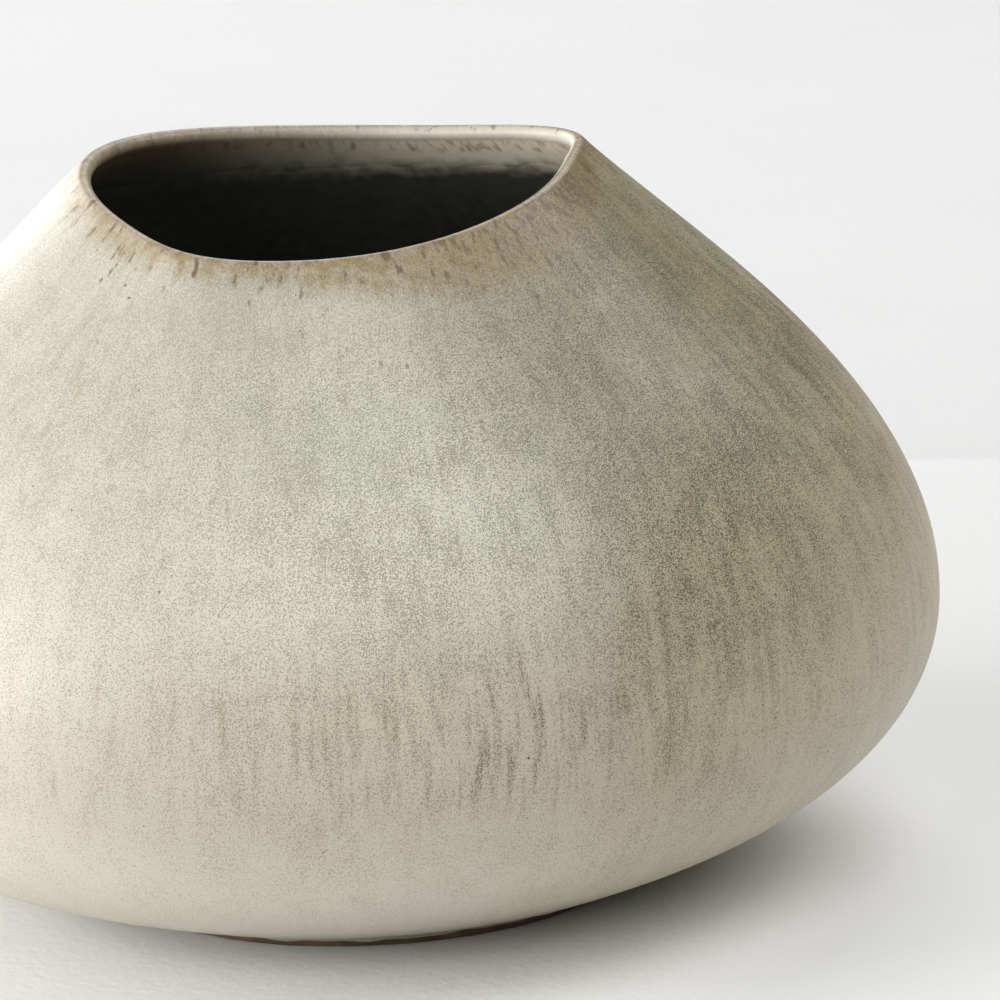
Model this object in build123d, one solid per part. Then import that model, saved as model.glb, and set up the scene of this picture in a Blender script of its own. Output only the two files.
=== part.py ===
"""Pillow vase: a low oval stoneware vessel with a wide pinched mouth, on a bare oval foot ring.

The visible surface is one formula. Each compass angle has its own upright curve: from the foot ring out
under the belly, up to the belly line, then in over the shoulder to the rim. The rim is a circle drawn out
into a rounded spout and a soft corner, and it rises and dips as it goes round. The clay wall and the two
glaze coats are measured inwards from that surface, and neighbours are closed by the same sheets, so they
meet face to face everywhere.

Millimetres, +Z up. The origin is on the standing surface, below the middle of the belly.
"""

import os
from functools import cache
from math import atan2, cos, exp, hypot, radians, sin, tau

from build123d import *

# Body
BODY_LENGTH = 262.0
BODY_WIDTH = 202.0
BELLY_HEIGHT = 53.0

# Rim: a circle set a little off the middle, measured on the visible outer edge of the lip
MOUTH_RADIUS = 52.0
MOUTH_SHIFT_X = -7.0
MOUTH_SHIFT_Y = 5.0
RIM_HEIGHT = 150.7
RIM_RISE = 2.3
RIM_RISE_DIRECTION = 25.0
RIM_SADDLE = 3.0
RIM_SADDLE_DIRECTION = -38.0
SPOUT_REACH = 8.4
SPOUT_DIRECTION = 0.0
SPOUT_SPREAD_ANGLE = 21.5
CORNER_REACH = 4.2
CORNER_DIRECTION = -150.0
CORNER_SPREAD_ANGLE = 19.0

# Walls
CLAY_WALL = 5.0
CLAY_LIP = 2.4
CLAY_FLOOR = 7.0
GLAZE_COAT = 0.5

# Foot ring, luted under the body and left bare below the glaze line
FOOT_LENGTH = 121.0
FOOT_WIDTH = 108.0
FOOT_HEIGHT = 3.5
FOOT_RING_WIDTH = 9.0
FOOT_BEVEL = 0.8
BARE_CLAY_HEIGHT = 1.4

# The outer coat is carried over the lip and this far down inside
COAT_OVER_LIP = 8.0

# Upright curve: how far each end holds its direction, as shares of the run to its neighbour
UNDERSIDE_RISE = 6.0
UNDERSIDE_HOLD_SHARE = 0.48
BELLY_LOWER_HOLD_SHARE = 0.6
BELLY_UPPER_HOLD_SHARE = 0.45
SHOULDER_HOLD_SHARE = 0.35
SHOULDER_SLOPE_ANGLE = 45.0

# Places where sections are taken. On the upright curve 0 is the foot, 1 the belly and 2 the rim.
# Inside, 0 is the end of the outer coat and 1 the edge of the floor.
BELLY_SHARE = 1
RIM_SHARE = 2
OUTSIDE_SHARES = (0.2, 0.45, 0.72, 1.0, 1.25, 1.5, 1.72, 1.88, 2.0)
INSIDE_SHARES = (0.06, 0.14, 0.25, 0.4, 0.55, 0.7, 0.85, 0.95)
LIP_TURN_ANGLES = (45.0, 90.0, 135.0, 180.0)
SECTION_POINTS = 48
STEP_SHARE = 0.001
HALVINGS = 40


def oval_point(length, width, angle, height):
    """Point on the edge of a level oval."""
    radius = 1 / hypot(2 * cos(angle) / length, 2 * sin(angle) / width)
    return Vector(radius * cos(angle), radius * sin(angle), height)


def pinch_share(angle, direction, spread):
    """1 where the rim is pinched out, falling to 0 on both sides."""
    away = angle - radians(direction)
    away = atan2(sin(away), cos(away))
    return exp(-((away / radians(spread)) ** 2))


def rim_point(angle):
    """Point on the visible outer edge of the lip."""
    radius = MOUTH_RADIUS
    radius += SPOUT_REACH * pinch_share(angle, SPOUT_DIRECTION, SPOUT_SPREAD_ANGLE)
    radius += CORNER_REACH * pinch_share(angle, CORNER_DIRECTION, CORNER_SPREAD_ANGLE)
    height = RIM_HEIGHT
    height += RIM_RISE * cos(angle - radians(RIM_RISE_DIRECTION))
    height += RIM_SADDLE * cos(2 * (angle - radians(RIM_SADDLE_DIRECTION)))
    return Vector(MOUTH_SHIFT_X + radius * cos(angle), MOUTH_SHIFT_Y + radius * sin(angle), height)


def belly_point(angle):
    """Point on the widest line of the body."""
    return oval_point(BODY_LENGTH, BODY_WIDTH, angle, BELLY_HEIGHT)


def foot_point(angle, coat, height):
    """Point on the side of the foot ring, standing off it by the thickness of a coat."""
    return oval_point(FOOT_LENGTH + 2 * coat, FOOT_WIDTH + 2 * coat, angle, height)


def shoulder_run(angle):
    """Level way from the rim out to the belly."""
    run = belly_point(angle) - rim_point(angle)
    return Vector(run.X, run.Y, 0)


def cubic(start, leave, arrive, end, share):
    """Point on a cubic curve that leaves and arrives along its two handles."""
    rest = 1 - share
    first_half = start * rest**3 + leave * (3 * share * rest**2)
    return first_half + arrive * (3 * share**2 * rest) + end * share**3


def underside(angle, share):
    """Lower half of the upright curve, from the foot ring to the belly."""
    foot = foot_point(angle, GLAZE_COAT, FOOT_HEIGHT)
    belly = belly_point(angle)
    run = belly - foot
    leave = foot + Vector(run.X, run.Y, 0) * UNDERSIDE_HOLD_SHARE + Vector(0, 0, UNDERSIDE_RISE)
    arrive = belly - Vector(0, 0, run.Z * BELLY_LOWER_HOLD_SHARE)
    return cubic(foot, leave, arrive, belly, share)


def shoulder(angle, share):
    """Upper half of the upright curve, from the belly to the rim."""
    belly = belly_point(angle)
    rim = rim_point(angle)
    run = shoulder_run(angle)
    slope = radians(SHOULDER_SLOPE_ANGLE)
    leave = belly + Vector(0, 0, (rim.Z - belly.Z) * BELLY_UPPER_HOLD_SHARE)
    arrive = rim + (run * cos(slope) - Vector(0, 0, run.length * sin(slope))) * SHOULDER_HOLD_SHARE
    return cubic(belly, leave, arrive, rim, share)


def surface_point(angle, place):
    """Point on the visible outside."""
    return underside(angle, place) if place < BELLY_SHARE else shoulder(angle, place - BELLY_SHARE)


def along_curve(angle, place):
    """Unit direction up the upright curve."""
    low = max(place - STEP_SHARE, 0)
    return (surface_point(angle, low + STEP_SHARE) - surface_point(angle, low)).normalized()


def outward_normal(angle, place):
    """Unit direction square to the visible outside, pointing away from the clay."""
    step = STEP_SHARE * tau
    around = surface_point(angle + step, place) - surface_point(angle - step, place)
    return around.cross(along_curve(angle, place)).normalized()


def full_wall(place):
    """Clay and both coats together: even up to the belly, then thinner towards the lip."""
    thinning = max(place - BELLY_SHARE, 0) ** 2
    return CLAY_WALL + (CLAY_LIP - CLAY_WALL) * thinning + 2 * GLAZE_COAT


def outside_point(angle, place, inset):
    """Point under the visible outside by a depth of inset."""
    return surface_point(angle, place) - outward_normal(angle, place) * inset


def inside_point(angle, place, inset):
    """Point on the visible inside, drawn back into the wall by inset."""
    return outside_point(angle, place, full_wall(place) - inset)


def lip_point(angle, turn, inset):
    """Point on the half-round lip; turn is 0 on the outside and 180 on the inside."""
    half = full_wall(RIM_SHARE) / 2
    across = outward_normal(angle, RIM_SHARE) * cos(radians(turn))
    upward = along_curve(angle, RIM_SHARE) * sin(radians(turn))
    return outside_point(angle, RIM_SHARE, half) + (across + upward) * (half - inset)


def coat_end_place(angle):
    """Place inside the mouth where the outer coat ends: the curve runs evenly up to the rim there."""
    return RIM_SHARE - COAT_OVER_LIP / (3 * SHOULDER_HOLD_SHARE * shoulder_run(angle).length)


@cache
def floor_place(angle, inset):
    """Place where the inside comes down to the level floor, closed in on by halving."""
    floor = FOOT_HEIGHT + CLAY_FLOOR + GLAZE_COAT - inset
    low, high = 0, BELLY_SHARE
    for _ in range(HALVINGS):
        middle = (low + high) / 2
        if inside_point(angle, middle, inset).Z < floor:
            low = middle
        else:
            high = middle
    return low


def lining_point(angle, share, inset):
    """Point on the inside, from the end of the outer coat at 0 to the edge of the floor at 1."""
    top = coat_end_place(angle)
    return inside_point(angle, top + (floor_place(angle, inset) - top) * share, inset)


def ring(point):
    """Closed smooth wire through one point at each of the evenly spaced compass angles."""
    angles = [tau * step / SECTION_POINTS for step in range(SECTION_POINTS)]
    return Wire(Edge.make_spline([point(angle) for angle in angles], periodic=True))


def foot_oval(coat, height):
    """Level wire round the side of the foot ring."""
    return ring(lambda angle: foot_point(angle, coat, height))


def coat_end(inset):
    """Wire round the inside of the mouth, where the outer coat stops and the liner starts."""
    return ring(lambda angle: lining_point(angle, 0, inset))


def floor_edge(inset):
    """Level wire round the floor of the vessel."""
    return ring(lambda angle: lining_point(angle, 1, inset))


def smooth_sheet(wires):
    """Smooth face through a row of wires."""
    return Shell.make_loft(wires).face()


def straight_band(first, second):
    """Straight-sided face between two wires."""
    return Shell.make_loft([first, second], ruled=True).face()


def straight_bands(wires):
    """Straight-sided faces from each wire of a row to the next."""
    return [straight_band(first, second) for first, second in zip(wires, wires[1:])]


def outer_sheets(inset):
    """Faces up the outside, over the lip and down to the end of the outer coat."""
    outside = [foot_oval(GLAZE_COAT - inset, FOOT_HEIGHT)]
    outside += [ring(lambda angle: outside_point(angle, place, inset)) for place in OUTSIDE_SHARES]
    lip = outside[-1:]
    lip += [ring(lambda angle: lip_point(angle, turn, inset)) for turn in LIP_TURN_ANGLES]
    half_way = ring(lambda angle: inside_point(angle, (RIM_SHARE + coat_end_place(angle)) / 2, inset))
    return [smooth_sheet(outside), smooth_sheet(lip), smooth_sheet([lip[-1], half_way, coat_end(inset)])]


def inner_sheets(inset):
    """Faces from the end of the outer coat down the inside, and across the floor."""
    wall = [coat_end(inset)]
    wall += [ring(lambda angle: lining_point(angle, share, inset)) for share in INSIDE_SHARES]
    wall += [floor_edge(inset)]
    return [smooth_sheet(wall), Face(wall[-1])]


def coat_end_band():
    """Narrow face through the inner skin, which the outer coat and the liner share."""
    return straight_band(coat_end(0), coat_end(GLAZE_COAT))


def collar_bands():
    """Faces of the collar that brings the outer coat down the foot ring to the glaze line."""
    wires = [foot_oval(0, FOOT_HEIGHT), foot_oval(0, BARE_CLAY_HEIGHT)]
    wires += [foot_oval(GLAZE_COAT, BARE_CLAY_HEIGHT), foot_oval(GLAZE_COAT, FOOT_HEIGHT)]
    return straight_bands(wires)


def closed_solid(faces):
    """Solid inside a set of faces that meet edge to edge."""
    return Solid(Shell(faces))


def stoneware_body():
    """The clay vessel: wall, lip and floor in one thrown and squeezed piece."""
    base = Face(foot_oval(0, FOOT_HEIGHT))
    return closed_solid(outer_sheets(GLAZE_COAT) + inner_sheets(GLAZE_COAT) + [base])


def foot_ring():
    """Bare clay ring under the body, with both standing edges bevelled."""
    outer = [foot_oval(0, FOOT_HEIGHT), foot_oval(0, FOOT_BEVEL), foot_oval(-FOOT_BEVEL, 0)]
    back = -FOOT_RING_WIDTH
    inner = [foot_oval(back, FOOT_HEIGHT), foot_oval(back, FOOT_BEVEL), foot_oval(back + FOOT_BEVEL, 0)]
    level = [Face(outer[place], [inner[place]]) for place in (0, -1)]
    return closed_solid(straight_bands(outer) + straight_bands(inner) + level)


def outer_glaze():
    """The mottled coat: outside, over the lip and a little way down inside, with its collar on the foot."""
    skins = outer_sheets(0) + outer_sheets(GLAZE_COAT)
    return closed_solid(skins + collar_bands() + [coat_end_band()])


def liner_glaze():
    """The dark coat that makes the inside hold water."""
    skins = inner_sheets(0) + inner_sheets(GLAZE_COAT)
    return closed_solid(skins + [coat_end_band()])


os.makedirs("parts", exist_ok=True)
for piece in (stoneware_body, foot_ring, outer_glaze, liner_glaze):
    export_step(piece(), f"parts/{piece.__name__}.step")
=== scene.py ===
"""Looks of the pillow vase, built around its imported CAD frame.

The two glaze coats and the foot ring are rebuilt as fine smooth meshes from the formula that shapes the
solids, so that they can carry what the solids leave out: the slow unevenness of handwork, the rolled edge of
the glaze above the foot and the drips inside the mouth. Each mesh carries its distance from the lip and a
flow coordinate that runs down from the lip, and the materials are drawn with those.

Metres, in the frame of the CAD.
"""

from math import cos, radians, sin, tau

import bpy
import numpy as np
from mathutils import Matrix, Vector


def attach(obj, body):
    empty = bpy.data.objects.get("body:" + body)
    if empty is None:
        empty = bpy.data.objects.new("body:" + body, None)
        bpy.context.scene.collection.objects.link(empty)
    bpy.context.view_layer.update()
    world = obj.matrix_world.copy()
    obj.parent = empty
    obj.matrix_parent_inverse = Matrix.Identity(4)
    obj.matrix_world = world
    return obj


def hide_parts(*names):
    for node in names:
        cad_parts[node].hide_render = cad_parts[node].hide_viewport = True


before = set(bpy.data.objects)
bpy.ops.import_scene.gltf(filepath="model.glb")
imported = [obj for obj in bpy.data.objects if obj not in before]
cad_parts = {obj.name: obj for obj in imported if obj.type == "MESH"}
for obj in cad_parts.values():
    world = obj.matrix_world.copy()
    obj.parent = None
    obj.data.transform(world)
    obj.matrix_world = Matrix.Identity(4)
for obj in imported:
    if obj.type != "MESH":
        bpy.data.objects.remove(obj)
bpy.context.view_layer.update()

MM = 0.001

# Shape, with the names and sizes of the CAD source
BODY_LENGTH = 262.0 * MM
BODY_WIDTH = 202.0 * MM
BELLY_HEIGHT = 53.0 * MM
MOUTH_RADIUS = 52.0 * MM
MOUTH_SHIFT_X = -7.0 * MM
MOUTH_SHIFT_Y = 5.0 * MM
RIM_HEIGHT = 150.7 * MM
RIM_RISE = 2.3 * MM
RIM_RISE_DIRECTION = 25.0
RIM_SADDLE = 3.0 * MM
RIM_SADDLE_DIRECTION = -38.0
SPOUT_REACH = 8.4 * MM
SPOUT_DIRECTION = 0.0
SPOUT_SPREAD_ANGLE = 21.5
CORNER_REACH = 4.2 * MM
CORNER_DIRECTION = -150.0
CORNER_SPREAD_ANGLE = 19.0
CLAY_WALL = 5.0 * MM
CLAY_LIP = 2.4 * MM
CLAY_FLOOR = 7.0 * MM
GLAZE_COAT = 0.5 * MM
FOOT_LENGTH = 121.0 * MM
FOOT_WIDTH = 108.0 * MM
FOOT_HEIGHT = 3.5 * MM
FOOT_RING_WIDTH = 9.0 * MM
FOOT_BEVEL = 0.8 * MM
BARE_CLAY_HEIGHT = 1.4 * MM
COAT_OVER_LIP = 8.0 * MM
UNDERSIDE_RISE = 6.0 * MM
UNDERSIDE_HOLD_SHARE = 0.48
BELLY_LOWER_HOLD_SHARE = 0.6
BELLY_UPPER_HOLD_SHARE = 0.45
SHOULDER_HOLD_SHARE = 0.35
SHOULDER_SLOPE_ANGLE = 45.0

# Handwork; waves are counts round the vase with a start, or runs through space with a start
WOBBLE = 0.05 * MM
WOBBLE_FULL_RADIUS = 30.0 * MM
WOBBLE_WAVES = (((90, 20, 55), 1.0), ((-35, 80, 100), 2.6), ((130, -60, -75), 4.4), ((20, 150, -120), 0.3))
ROLL_STANDS = 0.64 * MM
ROLL_HEIGHT = 0.7 * MM
RAGGED_FOOT = 0.3 * MM
FOOT_WAVES = ((5, 11, 23, 41), 0.7)
RAGGED_DRIPS = 0.9 * MM
DRIP_WAVES = ((9, 17, 29, 43), 1.9)
WEAR_SHARE = 0.25
WEAR_WAVES = ((7, 13, 29), 0.4)
BEVEL_ROUND_SHARE = 0.3
COAT_END_THICKNESS = 0.06 * MM
LINER_TUCK = 0.8 * MM
LINER_SINK = 0.12 * MM
LINER_SINK_POWER = 6
UNDERSIDE_COVER = 0.7 * MM
UNDERSIDE_COVER_END = 0.3

# Glaze: grains of speckle to the metre, and the middles and radii of its larger patches; the sheen patch is
# a painted sheen, paler and whiter where the lamps are reflected
SPECKLE = 3300
# Painted sheen: middle and radius of a paler, whiter patch where the lamps are reflected
SHEEN_PATCH = (-37 * MM, -88 * MM, 93 * MM)
SHEEN_RADIUS = 85 * MM
DEEP_PATCH = (22 * MM, -52 * MM, 140 * MM)
DEEP_RADIUS = 70 * MM
TAN_PATCH = (5 * MM, -48 * MM, 148 * MM)
TAN_RADIUS = 60 * MM
# Painted sheen: middle and radius of the end towards the lamps where the speckle is faded
SHEEN_END = (-115 * MM, -20 * MM, 110 * MM)
SHEEN_END_RADIUS = 110 * MM
# Painted light: middle and radius of the lit side by the spout, where the rim and the inner wall are painted
# lighter
LIT_SPOUT_PATCH = (55 * MM, 30 * MM, 152 * MM)
LIT_SPOUT_RADIUS = 90 * MM
STREAK_PATCH = (-15 * MM, -97 * MM, 60 * MM)
STREAK_RADIUS = 95 * MM

# Colours of the glaze and its speckle: plain (whiter than olive, partly painted sheen), on the pale patch of
# painted sheen, on the olive side, deepest olive
HIGH_GROUND = ((0.54, 0.514, 0.43), (0.82, 0.788, 0.665), (0.49, 0.445, 0.288), (0.322, 0.284, 0.147))
BELLY_GROUND = ((0.512, 0.475, 0.392), (0.685, 0.617, 0.48), (0.51, 0.446, 0.312), (0.445, 0.387, 0.266))
LOW_GROUND = ((0.615, 0.58, 0.487), (0.77, 0.722, 0.59), (0.59, 0.542, 0.415), (0.59, 0.542, 0.415))
HIGH_SPECKLE = ((0.262, 0.249, 0.18), (0.37, 0.354, 0.262), (0.108, 0.093, 0.042), (0.078, 0.062, 0.024))
LOW_SPECKLE = ((0.26, 0.21, 0.15), (0.31, 0.255, 0.185), (0.155, 0.113, 0.066), (0.155, 0.113, 0.066))

# Other colours of the outside
FOOT_GREY = (0.36, 0.35, 0.265)
GREEN_CLOUD = (0.46, 0.46, 0.35)
ROSE_CLOUD = (0.58, 0.51, 0.41)
TAN = (0.32, 0.224, 0.086)
TAN_SPECKLE = (0.125, 0.072, 0.025)
STREAK_FAINT = (0.16, 0.105, 0.052)
STREAK_HALO = (0.36, 0.265, 0.165)
STREAK_STRONG = (0.13, 0.068, 0.03)
STROKE = (0.3, 0.21, 0.12)
RUST = (0.118, 0.065, 0.016)
# Cream of the lip crest, partly a painted highlight of its lit edge
LIP_CREAM_AND_HIGHLIGHT = (0.7, 0.655, 0.55)
LIP_FLECK = (0.24, 0.14, 0.085)
PINHOLE = (0.03, 0.025, 0.02)

# Colours inside the mouth: band and grey are given away from the spout, dark as painted shade, and by it,
# light as painted light on the lit inner wall
MOUTH_BAND_SHADED_AND_LIT = ((0.2, 0.155, 0.1), (0.92, 0.81, 0.62))
MOUTH_SPOT = (0.22, 0.135, 0.068)
MOUTH_GREY_SHADED_AND_LIT = ((0.11, 0.1, 0.074), (0.84, 0.77, 0.61))
MOUTH_DARK = ((0.03, 0.031, 0.024), (0.11, 0.11, 0.088))
LINER_TOP = (0.3, 0.28, 0.23)
LINER_RUST = (0.06, 0.05, 0.036)

# Colours of the clay, pale and dark, and of the floor
FOOT_CLAY = ((0.16, 0.099, 0.056), (0.09, 0.055, 0.038))
BODY_CLAY = ((0.36, 0.25, 0.17), (0.27, 0.18, 0.12))
GRIT = (0.07, 0.045, 0.03)
FLOOR_NEAR = (0.865, 0.865, 0.86)
FLOOR_FAR = (0.775, 0.775, 0.77)
FLOOR_CLOUD = (0.92, 0.92, 0.915)
WALL_TONE = (0.715, 0.715, 0.71)
ROOM_TONE = (1.0, 0.99, 0.97)

# Where the glaze changes, from and to: distances down from the lip, negative inside the mouth
SHOULDER_GROUND = (108 * MM, 66 * MM)
LOWER_GROUND = (118 * MM, 150 * MM)
FOOT_GROUND = (164 * MM, 190 * MM)
DRAWN_GRAIN = (34 * MM, 8 * MM)
SHOULDER_SPECKLE = (125 * MM, 62 * MM)
FULL_SPECKLE = (170 * MM, 85 * MM)
CLEAR_SPECKLE = (36 * MM, 10 * MM)
SHOULDER_STROKES = (95 * MM, 60 * MM)
RUST_SPOTS = (60 * MM, 30 * MM)
RUST_BAND = (16 * MM, 3 * MM)
FLECKS_OUTSIDE = (4 * MM, 2 * MM)
FLECKS_INSIDE = (-1.2 * MM, 0)
INNER_BAND = (-2.6 * MM, -3.8 * MM)
INNER_GREY = (-3.4 * MM, -5.4 * MM)
INNER_DARK = (-4.5 * MM, -13 * MM)

# The same as heights for the streaks, and as a tilted line across the vase for the olive side; the plain
# side towards the lamps is whiter, partly painted sheen
STREAKS_LOW = (38 * MM, 52 * MM)
STREAKS_HIGH = (86 * MM, 66 * MM)
OLIVE_EDGE = (-20 * MM, 32 * MM)
OLIVE_WANDER = 30 * MM
OLIVE_TILT = -0.3
OLIVE_TILT_HEIGHT = 90 * MM

# Depth of the fine relief
GLAZE_RELIEF = 0.03 * MM
LINER_RELIEF = 0.05 * MM
CLAY_RELIEF = 0.12 * MM
FLOOR_RELIEF = 0.15 * MM
GLAZE_IOR = 1.6

# Mesh: columns round the vase, and rows between places on the outside, closer by the foot and the lip
COLUMNS = 480
OUTSIDE_ROWS = ((0.01, 0.3, 39), (0.3, 1.75, 109), (1.75, 2, 35))
ROLL_ROWS = 9
LIP_TURN = 10
MOUTH_ROWS = 25
EDGE_ROWS = 6
BACK_LIP_TURN = 30
BACK_ROWS = 60
BACK_END = 0.02
LINER_ROWS = 110
LINER_BACK_ROWS = 50
FEW_SHARES = (0.3, 0.6, 0.85)
FLOOR_TRIES = 200
STEP = 0.001

# The flow coordinate: bearing round a circle of this radius, and distance from the lip as its height
FLOW_RADIUS = 80.0 * MM
UP = np.array((0.0, 0.0, 1.0))
LEVEL = np.array((1.0, 1.0, 0.0))
ANGLES = np.linspace(0, tau, COLUMNS, endpoint=False)


def points(x, y, z):
    """Array of points from arrays of coordinates."""
    return np.stack(np.broadcast_arrays(x, y, z), -1)


def unit(vectors):
    """The same directions at length 1."""
    return vectors / np.linalg.norm(vectors, axis=-1, keepdims=True)


def oval(length, width, angle, height):
    """Points on the edge of a level oval."""
    radius = 1 / np.hypot(2 * np.cos(angle) / length, 2 * np.sin(angle) / width)
    return points(radius * np.cos(angle), radius * np.sin(angle), height)


def pinch(angle, direction, spread):
    """1 where the rim is pinched out, falling to 0 on both sides."""
    away = angle - radians(direction)
    away = np.arctan2(np.sin(away), np.cos(away))
    return np.exp(-((away / radians(spread)) ** 2))


def rim_line(angle):
    """Points on the visible outer edge of the lip."""
    radius = MOUTH_RADIUS + SPOUT_REACH * pinch(angle, SPOUT_DIRECTION, SPOUT_SPREAD_ANGLE)
    radius = radius + CORNER_REACH * pinch(angle, CORNER_DIRECTION, CORNER_SPREAD_ANGLE)
    height = RIM_HEIGHT + RIM_RISE * np.cos(angle - radians(RIM_RISE_DIRECTION))
    height = height + RIM_SADDLE * np.cos(2 * (angle - radians(RIM_SADDLE_DIRECTION)))
    return points(MOUTH_SHIFT_X + radius * np.cos(angle), MOUTH_SHIFT_Y + radius * np.sin(angle), height)


def foot_line(coat, height):
    """Points round the side of the foot ring, standing off it by a coat."""
    return oval(FOOT_LENGTH + 2 * coat, FOOT_WIDTH + 2 * coat, ANGLES, height)


def cubic(start, leave, arrive, end, share):
    """Points on cubic curves that leave and arrive along their handles."""
    rest = 1 - share
    return start * rest**3 + leave * 3 * share * rest**2 + arrive * 3 * share**2 * rest + end * share**3


def surface(angle, place):
    """Points on the visible outside; place is 0 at the foot, 1 at the belly and 2 at the rim."""
    share = np.broadcast_to(place, angle.shape)[..., None]
    foot = oval(FOOT_LENGTH + 2 * GLAZE_COAT, FOOT_WIDTH + 2 * GLAZE_COAT, angle, FOOT_HEIGHT)
    belly = oval(BODY_LENGTH, BODY_WIDTH, angle, BELLY_HEIGHT)
    rim = rim_line(angle)
    out = belly - foot
    leave = foot + out * LEVEL * UNDERSIDE_HOLD_SHARE + UP * UNDERSIDE_RISE
    lower = cubic(foot, leave, belly - out * UP * BELLY_LOWER_HOLD_SHARE, belly, share)
    run = (belly - rim) * LEVEL
    slope = radians(SHOULDER_SLOPE_ANGLE)
    dive = run * cos(slope) - UP * np.linalg.norm(run, axis=-1, keepdims=True) * sin(slope)
    leave = belly + (rim - belly) * UP * BELLY_UPPER_HOLD_SHARE
    upper = cubic(belly, leave, rim + dive * SHOULDER_HOLD_SHARE, rim, share - 1)
    return np.where(share < 1, lower, upper)


def along(angle, place):
    """Unit direction up the upright curve."""
    return unit(surface(angle, place) - surface(angle, place - STEP))


def normal(angle, place):
    """Unit direction square to the visible outside."""
    around = surface(angle + STEP, place) - surface(angle - STEP, place)
    return unit(np.cross(around, surface(angle, place + STEP) - surface(angle, place - STEP)))


def wall(place):
    """Clay and both coats together: even up to the belly, then thinner towards the lip."""
    return CLAY_WALL + (CLAY_LIP - CLAY_WALL) * np.maximum(place - 1, 0) ** 2 + 2 * GLAZE_COAT


def outside(place, inset):
    """Row of points under the visible outside by a depth of inset."""
    return surface(ANGLES, place) - normal(ANGLES, place) * np.reshape(inset, (-1, 1))


def inside(place, inset):
    """Row of points on the visible inside, drawn back into the wall by inset."""
    return outside(place, wall(place) - inset)


def lip(turn, inset):
    """Row of points on the half-round lip; turn is 0 on the outside and 180 degrees on the inside."""
    half = wall(2) / 2
    across = normal(ANGLES, 2) * cos(radians(turn)) + along(ANGLES, 2) * sin(radians(turn))
    return outside(2, half) + across * (half - inset)


def ragged(counts, start):
    """Uneven line round the vase between about -1 and 1, from waves of the given counts."""
    waves = [np.sin(count * ANGLES + start * count) for count in counts]
    return sum(waves) / len(counts) ** 0.5 / 1.4


def drip_depth():
    """Depth below the lip to which the outer coat runs down inside."""
    return COAT_OVER_LIP + RAGGED_DRIPS * ragged(*DRIP_WAVES)


def place_below_lip(depth):
    """Place inside the mouth at a depth below the lip."""
    run = np.linalg.norm((surface(ANGLES, 1) - rim_line(ANGLES)) * LEVEL, axis=-1)
    return 2 - depth / (3 * SHOULDER_HOLD_SHARE * run)


def floor_place(inset):
    """Place in each column where the inside comes down to the level floor."""
    floor = FOOT_HEIGHT + CLAY_FLOOR + GLAZE_COAT - inset
    places = np.linspace(0, 1, FLOOR_TRIES)
    heights = np.array([inside(place, inset)[:, 2] for place in places])
    return np.array([np.interp(floor, column, places) for column in heights.T])


def handmade(rows):
    """Rows of points moved in and out a little, by slow waves through space."""
    spots = np.array(rows)
    waves = sum(np.sin(spots @ run + start) for run, start in WOBBLE_WAVES)
    outward = spots * LEVEL
    reach = np.linalg.norm(outward, axis=-1, keepdims=True)
    fade = np.minimum(reach / WOBBLE_FULL_RADIUS, 1)
    return spots + outward / np.maximum(reach, MM) * waves[..., None] * WOBBLE * fade


def from_crest(rows, crest):
    """Distance of each point from the crest row along its column, positive before it and negative after."""
    steps = np.linalg.norm(np.diff(rows, axis=0), axis=-1)
    run = np.concatenate([np.zeros((1, steps.shape[1])), np.cumsum(steps, axis=0)])
    return run[crest] - run


def grid_faces(count, closed):
    """Four-sided faces between neighbouring rows, all the way round."""
    row = np.arange(count if closed else count - 1)[:, None]
    column = np.arange(COLUMNS)[None]
    after = (row + 1) % count * COLUMNS
    beside = (column + 1) % COLUMNS
    here = row * COLUMNS
    quads = np.stack(np.broadcast_arrays(here + column, here + beside, after + beside, after + column), -1)
    return quads.reshape(-1, 4).tolist()


def pole_faces(first, pole, turned):
    """Three-sided faces from one row to a single point."""
    column = np.arange(COLUMNS)
    beside = (column + 1) % COLUMNS
    ends = (first + beside, first + column) if turned else (first + column, first + beside)
    return np.stack([*ends, np.full(COLUMNS, pole)], -1).tolist()


def make_piece(name, rows, lip_distance, node, material, poles=()):
    """Smooth mesh object from rows of points, standing for a CAD node."""
    count = len(rows)
    spots = rows.reshape(-1, 3)
    faces = grid_faces(count, closed=not len(poles))
    distance = lip_distance.reshape(-1)
    if len(poles):
        faces += pole_faces(0, len(spots), turned=True)
        faces += pole_faces((count - 1) * COLUMNS, len(spots) + 1, turned=False)
        spots = np.concatenate([spots, poles])
        distance = np.concatenate([distance, lip_distance[[0, -1], 0]])
    mesh = bpy.data.meshes.new(name)
    mesh.from_pydata(spots.tolist(), [], faces)
    mesh.validate()
    bearing = np.arctan2(spots[:, 1], spots[:, 0])
    bearing[: count * COLUMNS] = np.tile(ANGLES, count)
    flow = points(FLOW_RADIUS * np.cos(bearing), FLOW_RADIUS * np.sin(bearing), distance)
    mesh.attributes.new("from_lip", "FLOAT", "POINT").data.foreach_set("value", distance)
    mesh.attributes.new("flow", "FLOAT_VECTOR", "POINT").data.foreach_set("vector", flow.reshape(-1))
    mesh.polygons.foreach_set("use_smooth", np.ones(len(mesh.polygons), bool))
    mesh.materials.append(material)
    piece = bpy.data.objects.new(name, mesh)
    bpy.context.scene.collection.objects.link(piece)
    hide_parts(node)
    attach(piece, "root")
    return piece


def cover(place):
    """Extra thickness of the coat round the foot, where the clay of the solids lies lower."""
    return UNDERSIDE_COVER * sin(tau / 2 * min(place / UNDERSIDE_COVER_END, 1) ** 0.5) ** 2


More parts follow.
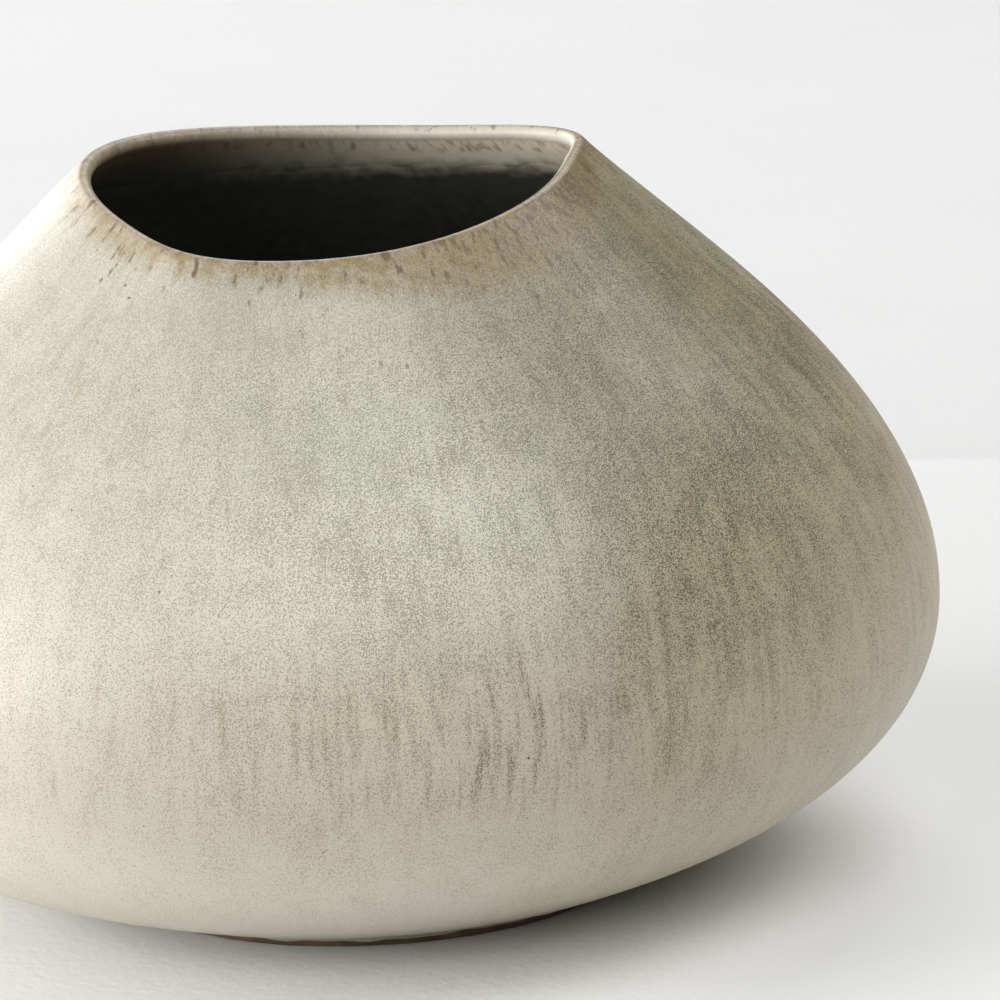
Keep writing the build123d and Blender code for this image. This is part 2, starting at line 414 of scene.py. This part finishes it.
def glaze_coat(material):
    """Outer coat: rolled edge on the foot, outside, lip, drips inside, then back along the clay."""
    glaze_line = BARE_CLAY_HEIGHT + RAGGED_FOOT * ragged(*FOOT_WAVES)
    rows = []
    for turn in np.linspace(0, tau / 4, ROLL_ROWS):
        stands = (ROLL_STANDS * sin(turn)) * np.ones(COLUMNS)
        rows.append(foot_line(stands, glaze_line + ROLL_HEIGHT * (1 - cos(turn))))
    for share in FEW_SHARES:
        stands = ROLL_STANDS + (GLAZE_COAT - ROLL_STANDS) * share
        low = glaze_line + ROLL_HEIGHT
        rows.append(foot_line(stands, low + (FOOT_HEIGHT - low) * share))
    for low, high, count in OUTSIDE_ROWS:
        rows += [outside(place, -cover(place)) for place in np.linspace(low, high, count, endpoint=False)]
    rows += [outside(2, 0)]
    crest = len(rows) - 1 + 90 // LIP_TURN
    rows += [lip(turn, 0) for turn in range(LIP_TURN, 181, LIP_TURN)]
    depth = drip_depth()
    shares = np.linspace(0, 1, MOUTH_ROWS)[1:]
    rows += [inside(place_below_lip(depth * share), 0) for share in shares]
    edge = COAT_END_THICKNESS
    for turn in np.linspace(0, tau / 4, EDGE_ROWS)[1:]:
        rows.append(inside(place_below_lip(depth + edge * sin(turn)), edge * (1 - cos(turn))))
    shown = len(rows)
    for share in (*FEW_SHARES[::-1], 0):
        rows.append(inside(place_below_lip(depth * share), GLAZE_COAT + (edge - GLAZE_COAT) * share))
    rows += [lip(turn, GLAZE_COAT) for turn in range(180 - BACK_LIP_TURN, 0, -BACK_LIP_TURN)]
    rows += [outside(place, GLAZE_COAT) for place in np.linspace(2, BACK_END, BACK_ROWS)]
    rows += [foot_line(0, FOOT_HEIGHT)]
    rows = handmade(rows)
    distance = from_crest(rows, crest)
    distance[shown:] = 0
    return make_piece("glaze_coat", rows, distance, "outer_glaze", material)


def liner_coat(material):
    """Liner: floor, inside wall up to just under the drips, then back along the clay."""
    depth = drip_depth() - LINER_TUCK
    top = place_below_lip(depth)
    rows = []
    seen, unseen = np.linspace(0, 1, LINER_ROWS), np.linspace(1, 0, LINER_BACK_ROWS)
    for inset, shares in ((0, seen), (GLAZE_COAT, unseen)):
        bottom = floor_place(inset)
        edge = inside(bottom, inset)
        spokes = FEW_SHARES if inset == 0 else FEW_SHARES[::-1]
        disc = [edge * LEVEL * share + edge * UP for share in spokes]
        sink = LINER_SINK if inset == 0 else GLAZE_COAT
        side = []
        for share in shares:
            drawn_back = inset + (sink - inset) * share**LINER_SINK_POWER
            side.append(inside(bottom + (top - bottom) * share, drawn_back))
        rows += disc + side if inset == 0 else side + disc
    rows = handmade(rows)
    top_row = len(disc) + LINER_ROWS - 1
    distance = -np.abs(from_crest(rows, top_row)) - depth - wall(2) * tau / 8
    rows = rows[::-1]
    distance = distance[::-1]
    poles = [(0, 0, rows[0, 0, 2]), (0, 0, rows[-1, 0, 2])]
    return make_piece("liner_coat", rows, distance, "liner_glaze", material, np.array(poles))


def foot_clay(material):
    """Foot ring: turned sides, worn bevels and a flat standing face."""
    worn = FOOT_BEVEL * (1 + WEAR_SHARE * ragged(*WEAR_WAVES))
    cut = worn * BEVEL_ROUND_SHARE
    back = -FOOT_RING_WIDTH
    rows = [foot_line(0, FOOT_HEIGHT), foot_line(0, BARE_CLAY_HEIGHT), foot_line(0, worn)]
    rows += [foot_line(-cut, cut), foot_line(-worn, 0)]
    rows += [foot_line(back * share, 0) for share in (0.35, 0.65)]
    rows += [foot_line(back + worn, 0), foot_line(back + cut, cut)]
    rows += [foot_line(back, worn), foot_line(back, FOOT_HEIGHT)]
    rows = np.array(rows)[::-1]
    distance = np.zeros(rows.shape[:2])
    return make_piece("foot_clay", rows, distance, "foot_ring", material)


def add(tree, kind, inputs=None, **settings):
    """New shader node; an input given as a socket is linked, any other is set."""
    node = tree.nodes.new("ShaderNode" + kind)
    for name, value in settings.items():
        setattr(node, name, value)
    for key, value in (inputs or {}).items():
        if isinstance(value, bpy.types.NodeSocket):
            tree.links.new(value, node.inputs[key])
        else:
            node.inputs[key].default_value = value
    return node


def calc(tree, operation, first, second=0.0, third=0.0):
    """Value of one sum."""
    return add(tree, "Math", {0: first, 1: second, 2: third}, operation=operation).outputs[0]


def spread(tree, value, low, high, to_low=0.0, to_high=1.0):
    """Value eased from one range to another."""
    inputs = {"Value": value, "From Min": low, "From Max": high, "To Min": to_low, "To Max": to_high}
    return add(tree, "MapRange", inputs, interpolation_type="SMOOTHSTEP").outputs["Result"]


def blend(tree, share, first, second):
    """Colour between two colours."""
    node = add(tree, "Mix", {"Factor": share}, data_type="RGBA")
    for socket, value in zip(node.inputs[6:8], (first, second)):
        if isinstance(value, bpy.types.NodeSocket):
            tree.links.new(value, socket)
        else:
            socket.default_value = (*value, 1)
    return node.outputs[2]


def noise(tree, vector, scale, detail=2.0, roughness=0.5):
    """Smooth noise between 0 and 1, with about scale grains to the metre."""
    inputs = {"Vector": vector, "Scale": scale, "Detail": detail, "Roughness": roughness}
    return add(tree, "TexNoise", inputs).outputs["Fac"]


def stretched(tree, vector, share):
    """Flow coordinate drawn out along the flow, so that noise in it runs downwards."""
    return add(tree, "VectorMath", {0: vector, 1: (1, 1, share)}, operation="MULTIPLY").outputs[0]


def attribute(tree, name, output):
    """What the mesh carries under a name."""
    return add(tree, "Attribute", attribute_name=name).outputs[output]


def new_material(name):
    """New material, its node tree and its shader."""
    material = bpy.data.materials.new(name)
    material.use_nodes = True
    tree = material.node_tree
    return material, tree, tree.nodes["Principled BSDF"]


def bump(tree, height, distance):
    """Normal for a fine relief of the given depth."""
    return add(tree, "Bump", {"Height": height, "Distance": distance, "Strength": 1.0}).outputs["Normal"]


def patch(tree, spot, centre, radius):
    """1 at a place on the body, eased to 0 at a distance from it."""
    distance = add(tree, "VectorMath", {0: spot, 1: centre}, operation="DISTANCE").outputs["Value"]
    return spread(tree, distance, radius, 0)


def glaze_tone(tree, spot):
    """Shares of the pale patch of painted sheen, of the olive side with the spout and of its deepest part.
    """
    axes = add(tree, "SeparateXYZ", {0: spot}).outputs
    above = calc(tree, "SUBTRACT", axes["Z"], OLIVE_TILT_HEIGHT)
    across = calc(tree, "MULTIPLY_ADD", above, OLIVE_TILT, axes["X"])
    slow = calc(tree, "SUBTRACT", noise(tree, spot, 15, 2), 0.5)
    across = calc(tree, "MULTIPLY_ADD", slow, OLIVE_WANDER, across)
    # Off the olive side, towards the lamps, the glaze is whiter: partly its own cream, partly painted sheen
    olive = spread(tree, across, *OLIVE_EDGE)
    # Pale patch: a painted sheen, paler and whiter where the lamps are reflected
    pale = patch(tree, spot, SHEEN_PATCH, SHEEN_RADIUS)
    deep = patch(tree, spot, DEEP_PATCH, DEEP_RADIUS)
    return pale, olive, deep


def by_tone(tree, tone, plain, pale, olive, deep):
    """Colour that changes over the pale patch of painted sheen, the olive side and the deep olive under the
    lip; off the olive side it is whiter, partly painted sheen.
    """
    colour = blend(tree, tone[1], blend(tree, tone[0], plain, pale), olive)
    return blend(tree, tone[2], colour, deep)


def glaze_tan(tree, spot, reach, flow):
    """Share of tan in the band under the lip, where the glaze runs thin."""
    runs = noise(tree, stretched(tree, flow, 0.12), 170, 3)
    near = patch(tree, spot, TAN_PATCH, TAN_RADIUS)
    wide = calc(tree, "MULTIPLY_ADD", runs, 14 * MM, -1.5 * MM)
    wide = calc(tree, "MULTIPLY_ADD", near, 10 * MM, wide)
    share = spread(tree, calc(tree, "SUBTRACT", wide, reach), -5 * MM, 4 * MM)
    cloud = spread(tree, noise(tree, spot, 330, 3), 0.38, 0.6, 0.6, 1)
    share = calc(tree, "MULTIPLY", share, cloud)
    return calc(tree, "MULTIPLY", share, calc(tree, "MULTIPLY_ADD", near, 0.15, 0.8))


def glaze_ground(tree, spot, reach, tone, tan):
    """Cream under the speckle: rosier on the belly, greyer towards the foot."""
    shoulder = spread(tree, reach, *SHOULDER_GROUND)
    lower = spread(tree, reach, *LOWER_GROUND)
    foot = spread(tree, reach, *FOOT_GROUND, 0, 0.75)
    high = by_tone(tree, tone, *HIGH_GROUND)
    belly = by_tone(tree, tone, *BELLY_GROUND)
    low = by_tone(tree, tone, *LOW_GROUND)
    colour = blend(tree, shoulder, belly, high)
    colour = blend(tree, lower, colour, low)
    colour = blend(tree, foot, colour, FOOT_GREY)
    green = spread(tree, noise(tree, spot, 31, 2), 0.5, 0.68, 0, 0.2)
    colour = blend(tree, green, colour, GREEN_CLOUD)
    rose = spread(tree, noise(tree, spot, 97, 3), 0.52, 0.7, 0, 0.2)
    colour = blend(tree, rose, colour, ROSE_CLOUD)
    return blend(tree, tan, colour, TAN)


def glaze_grain(tree, spot, reach, flow):
    """Fine grain of the speckle, drawn out a little along the flow near the lip."""
    even = noise(tree, spot, SPECKLE, 2)
    drawn = noise(tree, stretched(tree, flow, 0.5), SPECKLE, 2)
    near_lip = spread(tree, reach, *DRAWN_GRAIN, 0.1, 0.6)
    return add(tree, "Mix", {"Factor": near_lip, "A": even, "B": drawn}).outputs[0]


def glaze_speckle(tree, colour, spot, reach, flow, grain, tone, tan):
    """Olive speckle, dense on the shoulder, brown and sparse below the belly, and faded at the end towards
    the lamps as a painted sheen.
    """
    shoulder = spread(tree, reach, *SHOULDER_SPECKLE)
    dense = calc(tree, "MULTIPLY_ADD", shoulder, 0.065, 0.43)
    slow = calc(tree, "SUBTRACT", noise(tree, spot, 27, 2), 0.5)
    dense = calc(tree, "MULTIPLY_ADD", slow, 0.12, dense)
    quick = calc(tree, "SUBTRACT", noise(tree, spot, 130, 3), 0.5)
    dense = calc(tree, "MULTIPLY_ADD", quick, 0.14, dense)
    runs = calc(tree, "SUBTRACT", noise(tree, stretched(tree, flow, 0.13), 430, 2), 0.5)
    dense = calc(tree, "MULTIPLY_ADD", runs, calc(tree, "MULTIPLY_ADD", tone[1], 0.07, 0.1), dense)
    dots = spread(tree, calc(tree, "SUBTRACT", dense, grain), -0.078, 0.078)
    depth = spread(tree, reach, *FULL_SPECKLE, 0.45, 1)
    # Painted sheen: the speckle is faded at the end towards the lamps, as if washed out by their reflection
    sheen_end_share = patch(tree, spot, SHEEN_END, SHEEN_END_RADIUS)
    depth = calc(tree, "MULTIPLY", depth, calc(tree, "MULTIPLY_ADD", sheen_end_share, -0.35, 1))
    clear = calc(tree, "SUBTRACT", spread(tree, reach, *CLEAR_SPECKLE, 0, 0.28), tone[1])
    depth = calc(tree, "SUBTRACT", depth, calc(tree, "MAXIMUM", clear, 0))
    high = by_tone(tree, tone, *HIGH_SPECKLE)
    low = by_tone(tree, tone, *LOW_SPECKLE)
    dark = blend(tree, shoulder, low, high)
    dark = blend(tree, tan, dark, TAN_SPECKLE)
    return blend(tree, calc(tree, "MULTIPLY", dots, depth), colour, dark)


def glaze_streaks(tree, colour, spot, flow):
    """Upright streaks of rust dots round the belly."""
    height = add(tree, "SeparateXYZ", {0: spot}).outputs["Z"]
    zone = spread(tree, height, *STREAKS_LOW)
    zone = calc(tree, "MULTIPLY", zone, spread(tree, height, *STREAKS_HIGH))
    front = patch(tree, spot, STREAK_PATCH, STREAK_RADIUS)
    zone = calc(tree, "MULTIPLY", zone, calc(tree, "MULTIPLY_ADD", front, 0.7, 0.3))
    lines = noise(tree, stretched(tree, flow, 0.1), 760, 1)
    faint = calc(tree, "MULTIPLY", spread(tree, lines, 0.45, 0.62, 0, 0.65), zone)
    strong = calc(tree, "MULTIPLY", spread(tree, lines, 0.62, 0.73, 0, 0.85), zone)
    dots = spread(tree, noise(tree, spot, 1.1 * SPECKLE, 1), 0.52, 0.38)
    colour = blend(tree, calc(tree, "MULTIPLY", faint, dots), colour, STREAK_FAINT)
    colour = blend(tree, calc(tree, "MULTIPLY", strong, 0.3), colour, STREAK_HALO)
    return blend(tree, calc(tree, "MULTIPLY", strong, dots), colour, STREAK_STRONG)


def glaze_rust(tree, colour, spot, reach, flow):
    """Soft rust spots, most of them in the tan band, and faint strokes on the shoulder."""
    near = patch(tree, spot, TAN_PATCH, TAN_RADIUS)
    strokes = spread(tree, noise(tree, stretched(tree, flow, 0.3), 430, 2), 0.6, 0.72, 0, 0.28)
    strokes = calc(tree, "MULTIPLY", strokes, spread(tree, reach, *SHOULDER_STROKES))
    colour = blend(tree, strokes, colour, STROKE)
    rust = noise(tree, stretched(tree, flow, 0.6), 390, 2)
    band = spread(tree, reach, *RUST_BAND, 0, 0.12)
    rust = calc(tree, "ADD", rust, calc(tree, "MULTIPLY_ADD", near, 0.08, band))
    rust = spread(tree, rust, 0.68, 0.84, 0, 0.82)
    rust = calc(tree, "MULTIPLY", rust, spread(tree, reach, *RUST_SPOTS))
    return blend(tree, rust, colour, RUST)


def mouth_fade(tree, colour, spot, reach, flow):
    """Inside of the mouth: tan with brown spots behind the lip, then grey, then dark; band and grey are
    painted light by the spout and painted shade away from it.
    """
    # Painted light and shade: the inner wall by the spout is painted light, the wall away from it painted
    # dark
    lit_spout = patch(tree, spot, LIT_SPOUT_PATCH, LIT_SPOUT_RADIUS)
    spots = spread(tree, noise(tree, stretched(tree, flow, 0.6), 420, 3), 0.44, 0.74, 0, 0.75)
    band = blend(tree, lit_spout, *MOUTH_BAND_SHADED_AND_LIT)
    band = blend(tree, spots, band, MOUTH_SPOT)
    colour = blend(tree, spread(tree, reach, *INNER_BAND), colour, band)
    grey = blend(tree, lit_spout, *MOUTH_GREY_SHADED_AND_LIT)
    uneven = calc(tree, "MULTIPLY_ADD", noise(tree, spot, 190, 3), 5 * MM, reach)
    colour = blend(tree, spread(tree, uneven, *INNER_GREY), colour, grey)
    deep = calc(tree, "MULTIPLY_ADD", noise(tree, spot, 240, 3), 7 * MM, reach)
    dark = blend(tree, noise(tree, spot, 420, 3), *MOUTH_DARK)
    return blend(tree, spread(tree, deep, *INNER_DARK), colour, dark)


def glaze_rim(tree, colour, spot, reach):
    """Cream on the crest of the lip, partly a painted highlight of its lit edge, strongest on the spout and
    towards the front, with brown flecks.
    """
    lit_spout = patch(tree, spot, LIT_SPOUT_PATCH, LIT_SPOUT_RADIUS)
    crest = spread(tree, reach, calc(tree, "MULTIPLY_ADD", lit_spout, 1 * MM, 0.5 * MM), -0.2 * MM)
    # Painted highlight: the crest is creamier on the front side, where the lit edge of the lip shines
    near = add(tree, "SeparateXYZ", {0: spot}).outputs["Y"]
    near = spread(tree, near, 20 * MM, -20 * MM, 0.1, 0.5)
    crest = calc(tree, "MULTIPLY", crest, calc(tree, "MULTIPLY_ADD", lit_spout, 0.75, near))
    colour = blend(tree, crest, colour, LIP_CREAM_AND_HIGHLIGHT)
    flecks = spread(tree, noise(tree, spot, 430, 2), 0.56, 0.68, 0, 0.7)
    flecks = calc(tree, "MULTIPLY", flecks, spread(tree, reach, *FLECKS_INSIDE))
    flecks = calc(tree, "MULTIPLY", flecks, spread(tree, reach, *FLECKS_OUTSIDE))
    return blend(tree, flecks, colour, LIP_FLECK)


def outer_glaze_material():
    """Satin mottled glaze of the outside and the lip."""
    material, tree, shader = new_material("satin_glaze")
    spot = add(tree, "TexCoord").outputs["Object"]
    reach = attribute(tree, "from_lip", "Fac")
    flow = attribute(tree, "flow", "Vector")
    tone = glaze_tone(tree, spot)
    tan = glaze_tan(tree, spot, reach, flow)
    grain = glaze_grain(tree, spot, reach, flow)
    colour = glaze_ground(tree, spot, reach, tone, tan)
    colour = glaze_speckle(tree, colour, spot, reach, flow, grain, tone, tan)
    colour = glaze_streaks(tree, colour, spot, flow)
    colour = glaze_rust(tree, colour, spot, reach, flow)
    colour = glaze_rim(tree, colour, spot, reach)
    colour = mouth_fade(tree, colour, spot, reach, flow)
    pinholes = spread(tree, noise(tree, spot, 900, 0), 0.87, 0.91)
    colour = blend(tree, pinholes, colour, PINHOLE)
    relief = calc(tree, "MULTIPLY_ADD", grain, 0.3, noise(tree, spot, 260, 2))
    tree.links.new(colour, shader.inputs["Base Color"])
    tree.links.new(spread(tree, grain, 0.3, 0.7, 0.46, 0.4), shader.inputs["Roughness"])
    tree.links.new(bump(tree, relief, GLAZE_RELIEF), shader.inputs["Normal"])
    shader.inputs["IOR"].default_value = GLAZE_IOR
    return material


def liner_glaze_material():
    """Dark satin liner, mottled grey-green."""
    material, tree, shader = new_material("liner")
    spot = add(tree, "TexCoord").outputs["Object"]
    flow = attribute(tree, "flow", "Vector")
    reach = attribute(tree, "from_lip", "Fac")
    mottle = noise(tree, spot, 420, 3, 0.6)
    runs = noise(tree, stretched(tree, flow, 0.2), 160, 3)
    rust = spread(tree, runs, 0.5, 0.75, 0, 0.4)
    # The top of the liner takes the mouth's fade, with its painted light by the spout and painted shade away
    # from it
    colour = blend(tree, rust, mouth_fade(tree, LINER_TOP, spot, reach, flow), LINER_RUST)
    tree.links.new(colour, shader.inputs["Base Color"])
    tree.links.new(spread(tree, mottle, 0.3, 0.7, 0.4, 0.55), shader.inputs["Roughness"])
    tree.links.new(bump(tree, mottle, LINER_RELIEF), shader.inputs["Normal"])
    return material


def clay_material(name, pale, dark):
    """Dry fired clay with grit."""
    material, tree, shader = new_material(name)
    spot = add(tree, "TexCoord").outputs["Object"]
    body = noise(tree, spot, 120, 4, 0.6)
    grit = noise(tree, spot, 1400, 2, 0.6)
    colour = blend(tree, spread(tree, body, 0.3, 0.7), pale, dark)
    colour = blend(tree, spread(tree, grit, 0.58, 0.75, 0, 0.6), colour, GRIT)
    tree.links.new(colour, shader.inputs["Base Color"])
    tree.links.new(spread(tree, body, 0.3, 0.7, 0.8, 0.92), shader.inputs["Roughness"])
    tree.links.new(bump(tree, grit, CLAY_RELIEF), shader.inputs["Normal"])
    return material


def floor_material():
    """Pale plaster with a fine tooth, in another tone past the line where the wall begins."""
    material, tree, shader = new_material("plaster")
    spot = add(tree, "TexCoord").outputs["Object"]
    tooth = noise(tree, spot, 320, 4, 0.6)
    cloud = noise(tree, spot, 14, 3)
    behind = add(tree, "VectorMath", {0: spot, 1: -TOWARDS}, operation="DOT_PRODUCT").outputs["Value"]
    away = spread(tree, behind, FLOOR_FADE_BEHIND, WALL_BEHIND)
    colour = blend(tree, away, FLOOR_NEAR, FLOOR_FAR)
    past = spread(tree, behind, WALL_BEHIND - WALL_EDGE, WALL_BEHIND + WALL_EDGE)
    colour = blend(tree, past, colour, WALL_TONE)
    colour = blend(tree, spread(tree, cloud, 0.3, 0.7, 0, 0.06), colour, FLOOR_CLOUD)
    tree.links.new(colour, shader.inputs["Base Color"])
    tree.links.new(bump(tree, tooth, FLOOR_RELIEF), shader.inputs["Normal"])
    shader.inputs["Roughness"].default_value = 0.9
    shader.inputs["Specular IOR Level"].default_value = 0.2
    return material


# Camera, fitted to the outlines in the photograph
CAMERA_AZIMUTH = -30.85
CAMERA_ELEVATION = 16.38
CAMERA_DISTANCE = 1.5
CAMERA_AIM = Vector((0, 0, 0.08))
CAMERA_FOCAL_PIXELS = 7059
AIM_PIXEL_X = 367.5
AIM_PIXEL_Y = 502.1
IMAGE_PIXELS = 1000
SENSOR = 36.0
CLIP_END = 50

# Floor: half its width, and distances away from the camera past the origin
FLOOR_HALF = 4.0
FLOOR_FADE_BEHIND = -150 * MM
WALL_BEHIND = 309 * MM
WALL_EDGE = 2 * MM

# Directions as the camera sees them
RIGHT = Vector((cos(radians(CAMERA_AZIMUTH)), sin(radians(CAMERA_AZIMUTH)), 0))
TOWARDS = Vector((sin(radians(CAMERA_AZIMUTH)), -cos(radians(CAMERA_AZIMUTH)), 0))
OVERHEAD = Vector((0, 0, 1))

# Lamps: name, azimuth from the camera, elevation, watts
LAMP_SIZE = 0.8
LAMP_DISTANCE = 1.6
LAMPS = (
    ("window_back", -150, 12, 8),
    ("window_left", -105, 12, 6.5),
    ("window", -75, 12, 22),
    ("window_front", -40, 18, 10),
    ("front", 0, 25, 2.5),
    ("left_top", -75, 40, 3),
    ("right_top", 75, 40, 2.5),
    ("right_back", 112, 40, 7.5),
    ("back", 170, 38, 8),
    ("overhead", 60, 68, 6),
)
ROOM_STRENGTH = 0.02


def place_camera():
    """Camera turned so that the aim point falls on its pixel of the photograph."""
    back = TOWARDS * cos(radians(CAMERA_ELEVATION)) + OVERHEAD * sin(radians(CAMERA_ELEVATION))
    upward = back.cross(RIGHT)
    pixel = CAMERA_DISTANCE / CAMERA_FOCAL_PIXELS
    middle = IMAGE_PIXELS / 2
    centre = CAMERA_AIM + RIGHT * (middle - AIM_PIXEL_X) * pixel + upward * (AIM_PIXEL_Y - middle) * pixel
    data = bpy.data.cameras.new("camera")
    data.sensor_width = SENSOR
    data.lens = SENSOR * CAMERA_FOCAL_PIXELS / IMAGE_PIXELS
    data.clip_end = CLIP_END
    camera = bpy.data.objects.new("camera", data)
    camera.location = CAMERA_AIM + back * CAMERA_DISTANCE
    camera.rotation_euler = (centre - camera.location).to_track_quat("-Z", "Y").to_euler()
    bpy.context.scene.collection.objects.link(camera)
    bpy.context.scene.camera = camera


def area_light(name, azimuth, elevation, power):
    """Soft square lamp that faces the vase; azimuth is 0 at the camera and -90 on its left."""
    data = bpy.data.lights.new(name, "AREA")
    data.size = LAMP_SIZE
    data.energy = power
    level = RIGHT * sin(radians(azimuth)) + TOWARDS * cos(radians(azimuth))
    away = level * cos(radians(elevation)) + OVERHEAD * sin(radians(elevation))
    lamp = bpy.data.objects.new(name, data)
    lamp.location = CAMERA_AIM + away * LAMP_DISTANCE
    lamp.rotation_euler = away.to_track_quat("Z", "Y").to_euler()
    bpy.context.scene.collection.objects.link(lamp)


def place_lights():
    """A long low window round the left, weaker lamps above and behind, and a dim room."""
    for lamp in LAMPS:
        area_light(*lamp)
    world = bpy.data.worlds.new("room")
    world.use_nodes = True
    room = world.node_tree.nodes["Background"]
    room.inputs["Color"].default_value = (*ROOM_TONE, 1)
    room.inputs["Strength"].default_value = ROOM_STRENGTH
    bpy.context.scene.world = world


def place_floor():
    """Wide pale floor."""
    half = FLOOR_HALF
    mesh = bpy.data.meshes.new("floor")
    corners = [(-half, -half, 0), (half, -half, 0), (half, half, 0), (-half, half, 0)]
    mesh.from_pydata(corners, [], [(0, 1, 2, 3)])
    mesh.materials.append(floor_material())
    floor = bpy.data.objects.new("floor", mesh)
    bpy.context.scene.collection.objects.link(floor)


glaze_coat(outer_glaze_material())
liner_coat(liner_glaze_material())
foot_clay(clay_material("foot_clay", *FOOT_CLAY))
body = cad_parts["stoneware_body"]
body.data.materials.clear()
body.data.materials.append(clay_material("body_clay", *BODY_CLAY))
place_floor()
place_lights()
place_camera()
bpy.context.scene.view_settings.view_transform = "Standard"
